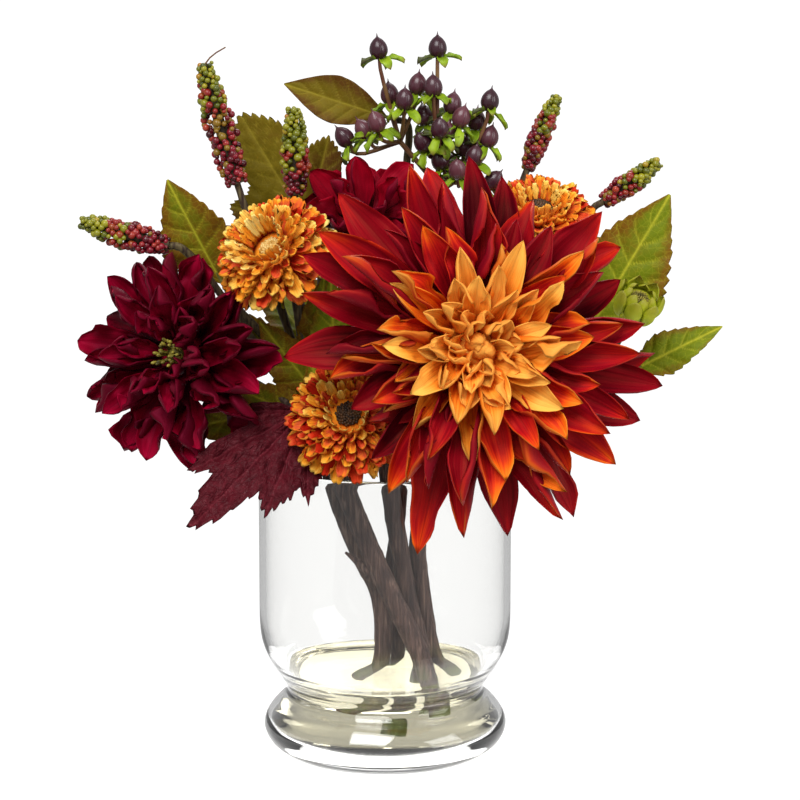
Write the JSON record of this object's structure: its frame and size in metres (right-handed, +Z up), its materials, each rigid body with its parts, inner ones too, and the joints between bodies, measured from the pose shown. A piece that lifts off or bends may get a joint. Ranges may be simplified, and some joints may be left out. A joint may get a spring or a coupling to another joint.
{
  "type": "cut flower arrangement",
  "caption": "Silk dahlias, chrysanthemums, hypericum, berry spikes and autumn leaves on woody stems, set in clear water in a footed glass jar.",
  "frame": {"origin": "middle of the jar's flat bottom, on the surface that it stands on", "axes": "+Z up along the jar's axis, -Y is the front that shows the large dahlia's face, +X is the right of that view"},
  "size_m": [0.2915, 0.1734, 0.3272],
  "materials": {
    "clear_glass": "clear pressed glass, polished",
    "set_water": "clear set resin with a faint yellow tint",
    "stem_bark": "grey-brown fibrous bark",
    "crimson_silk": "satin cloth, crimson with orange tips",
    "golden_silk": "satin cloth, golden orange with crimson roots",
    "burgundy_silk": "velvety cloth, dark burgundy",
    "scarlet_silk": "satin cloth, deep red",
    "gold_red_silk": "cloth, gold flushed with orange-red",
    "flower_disc": "dark beaded disc",
    "stamen": "yellow-green with dark tips",
    "sepal_green": "matt leaf green",
    "bud_green": "lime green with brown tips",
    "green_leaf": "printed cloth, green with yellow veins and brown edges",
    "brown_leaf": "printed cloth, olive brown",
    "maroon_leaf": "crinkled matt cloth, maroon",
    "ripe_bead": "small glossy red berries",
    "green_bead": "small glossy olive berries",
    "hypericum_berry": "glossy purple-brown berries on lime sepals"
  },
  "bodies": {
    "root": {"jar": "clear_glass", "water": "set_water", "stem_front": "stem_bark", "stem_left": "stem_bark", "stem_middle": "stem_bark", "stem_right": "stem_bark", "stem_back": "stem_bark", "dahlia_outer_petals": "crimson_silk", "dahlia_heart_petals": "golden_silk", "dahlia_calyx": "sepal_green", "burgundy_petals": "burgundy_silk", "burgundy_stamens": "stamen", "burgundy_calyx": "sepal_green", "red_petals": "scarlet_silk", "red_calyx": "sepal_green", "mum_left_petals": "gold_red_silk", "mum_left_disc": "flower_disc", "mum_left_calyx": "sepal_green", "mum_front_petals": "gold_red_silk", "mum_front_disc": "flower_disc", "mum_front_calyx": "sepal_green", "mum_right_petals": "gold_red_silk", "mum_right_disc": "flower_disc", "mum_right_calyx": "sepal_green", "leaf_maroon_lobed": "maroon_leaf", "leaf_left_toothed": "green_leaf", "leaf_olive_lobed": "brown_leaf", "leaf_brown_oval": "brown_leaf", "leaf_right_toothed": "green_leaf", "leaf_right_small": "green_leaf", "leaf_middle": "green_leaf", "leaf_back_left": "green_leaf", "leaf_back_right": "green_leaf", "spike_tall_ripe": "ripe_bead", "spike_tall_green": "green_bead", "spike_left_ripe": "ripe_bead", "spike_left_green": "green_bead", "spike_inner_ripe": "ripe_bead", "spike_inner_green": "green_bead", "spike_back_ripe": "ripe_bead", "spike_back_green": "green_bead", "spike_right_ripe": "ripe_bead", "spike_right_green": "green_bead", "hypericum_spray": "hypericum_berry", "bud": "bud_green"}
  },
  "joints": []
}
